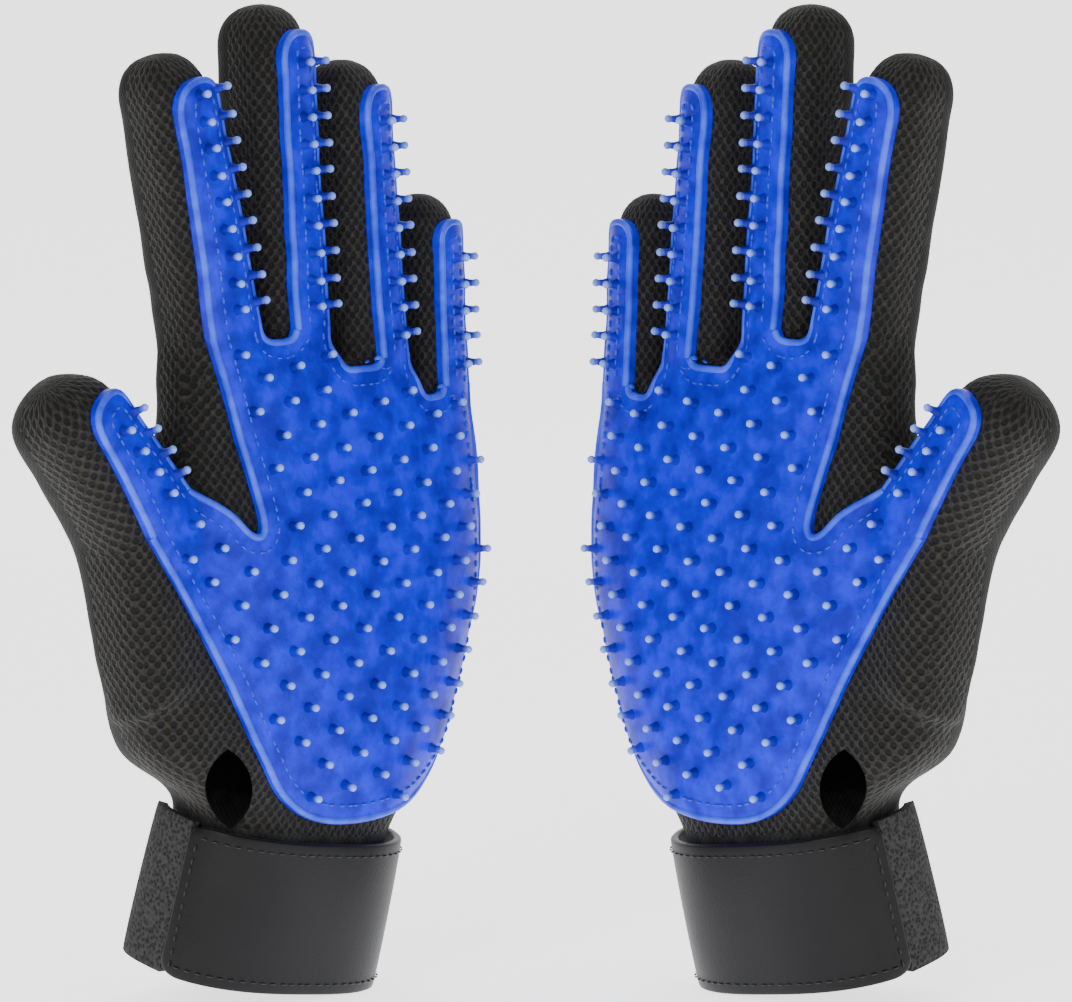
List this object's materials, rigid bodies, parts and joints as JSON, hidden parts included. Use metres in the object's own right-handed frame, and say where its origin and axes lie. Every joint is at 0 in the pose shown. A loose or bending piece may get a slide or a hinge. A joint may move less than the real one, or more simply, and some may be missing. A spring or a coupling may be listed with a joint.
{
  "type": "pet grooming glove pair",
  "caption": "Pair of five-finger pet grooming gloves: black mesh fabric with a blue rubber palm and finger faces covered in short nubs, closed by a wrist strap.",
  "frame": {"origin": "under the middle of the pair, on the line between the two gloves, at the level of the lowest edge of the cuffs", "axes": "+Z along the fingers, palms facing -Y, +X from the left-hand glove to the right-hand glove"},
  "size_m": [0.2432, 0.0994, 0.2364],
  "materials": {
    "blue_rubber": "soft satin moulded rubber",
    "black_mesh_fabric": "knitted polyester mesh",
    "strap_fabric": "satin laminated neoprene-like fabric",
    "binding_tape": "folded ribbed tape",
    "hook_and_loop_tape": "hook and loop"
  },
  "bodies": {
    "left_hand": {"left_palm_panel": "black_mesh_fabric", "left_back_panel": "black_mesh_fabric", "left_palm_pad": "blue_rubber", "left_wrist_cuff": "black_mesh_fabric", "left_cuff_binding": "binding_tape", "left_wrist_strap": "strap_fabric", "left_loop_patch": "hook_and_loop_tape"},
    "left_index": {"left_index_stall": "black_mesh_fabric", "left_index_pad": "blue_rubber"},
    "left_middle": {"left_middle_stall": "black_mesh_fabric", "left_middle_pad": "blue_rubber"},
    "left_ring": {"left_ring_stall": "black_mesh_fabric", "left_ring_pad": "blue_rubber"},
    "left_little": {"left_little_stall": "black_mesh_fabric", "left_little_pad": "blue_rubber"},
    "left_thumb": {"left_thumb_stall": "black_mesh_fabric", "left_thumb_pad": "blue_rubber"},
    "left_tab": {"left_strap_tab": "strap_fabric", "left_hook_patch": "hook_and_loop_tape"},
    "right_hand": {"right_palm_panel": "black_mesh_fabric", "right_back_panel": "black_mesh_fabric", "right_palm_pad": "blue_rubber", "right_wrist_cuff": "black_mesh_fabric", "right_cuff_binding": "binding_tape", "right_wrist_strap": "strap_fabric", "right_loop_patch": "hook_and_loop_tape"},
    "right_index": {"right_index_stall": "black_mesh_fabric", "right_index_pad": "blue_rubber"},
    "right_middle": {"right_middle_stall": "black_mesh_fabric", "right_middle_pad": "blue_rubber"},
    "right_ring": {"right_ring_stall": "black_mesh_fabric", "right_ring_pad": "blue_rubber"},
    "right_little": {"right_little_stall": "black_mesh_fabric", "right_little_pad": "blue_rubber"},
    "right_thumb": {"right_thumb_stall": "black_mesh_fabric", "right_thumb_pad": "blue_rubber"},
    "right_tab": {"right_strap_tab": "strap_fabric", "right_hook_patch": "hook_and_loop_tape"}
  },
  "joints": [
    {"name": "right_glove_place", "type": "slide", "parent": "left_hand", "child": "right_hand", "axis": [1, 0, 0], "range_m": [0, 0.05]},
    {"name": "left_index_curl", "type": "hinge", "parent": "left_hand", "child": "left_index", "pos_m": [-0.06946, -0.0191, 0.16042], "axis": [0.6898, 0.6915, 0.2144], "range_deg": [0, 75], "stiffness_Nm_per_rad": 0.05},
    {"name": "left_middle_curl", "type": "hinge", "parent": "left_hand", "child": "left_middle", "pos_m": [-0.05294, -0.00099, 0.1604], "axis": [0.6008, 0.7977, 0.0514], "range_deg": [0, 75], "stiffness_Nm_per_rad": 0.05},
    {"name": "left_ring_curl", "type": "hinge", "parent": "left_hand", "child": "left_ring", "pos_m": [-0.03393, 0.0163, 0.15297], "axis": [0.5576, 0.8276, 0.0643], "range_deg": [0, 75], "stiffness_Nm_per_rad": 0.05},
    {"name": "left_little_curl", "type": "hinge", "parent": "left_hand", "child": "left_little", "pos_m": [-0.01892, 0.03299, 0.14536], "axis": [0.5296, 0.8478, 0.0268], "range_deg": [0, 75], "stiffness_Nm_per_rad": 0.05},
    {"name": "left_thumb_curl", "type": "hinge", "parent": "left_hand", "child": "left_thumb", "pos_m": [-0.08442, -0.03475, 0.11826], "axis": [0.4868, 0.6256, 0.6097], "range_deg": [0, 45], "stiffness_Nm_per_rad": 0.05},
    {"name": "left_tab_peel", "type": "hinge", "parent": "left_hand", "child": "left_tab", "pos_m": [-0.05996, -0.0155, 0.02146], "axis": [0.216, -0.0837, 0.9728], "range_deg": [0, 100]},
    {"name": "right_index_curl", "type": "hinge", "parent": "right_hand", "child": "right_index", "pos_m": [0.06946, -0.0191, 0.16042], "axis": [0.6898, -0.6915, -0.2144], "range_deg": [0, 75], "stiffness_Nm_per_rad": 0.05},
    {"name": "right_middle_curl", "type": "hinge", "parent": "right_hand", "child": "right_middle", "pos_m": [0.05294, -0.00099, 0.1604], "axis": [0.6008, -0.7977, -0.0514], "range_deg": [0, 75], "stiffness_Nm_per_rad": 0.05},
    {"name": "right_ring_curl", "type": "hinge", "parent": "right_hand", "child": "right_ring", "pos_m": [0.03393, 0.0163, 0.15297], "axis": [0.5576, -0.8276, -0.0643], "range_deg": [0, 75], "stiffness_Nm_per_rad": 0.05},
    {"name": "right_little_curl", "type": "hinge", "parent": "right_hand", "child": "right_little", "pos_m": [0.01892, 0.03299, 0.14536], "axis": [0.5296, -0.8478, -0.0268], "range_deg": [0, 75], "stiffness_Nm_per_rad": 0.05},
    {"name": "right_thumb_curl", "type": "hinge", "parent": "right_hand", "child": "right_thumb", "pos_m": [0.08442, -0.03475, 0.11826], "axis": [0.4868, -0.6256, -0.6097], "range_deg": [0, 45], "stiffness_Nm_per_rad": 0.05},
    {"name": "right_tab_peel", "type": "hinge", "parent": "right_hand", "child": "right_tab", "pos_m": [0.05996, -0.0155, 0.02146], "axis": [0.216, 0.0837, -0.9728], "range_deg": [0, 100]}
  ]
}
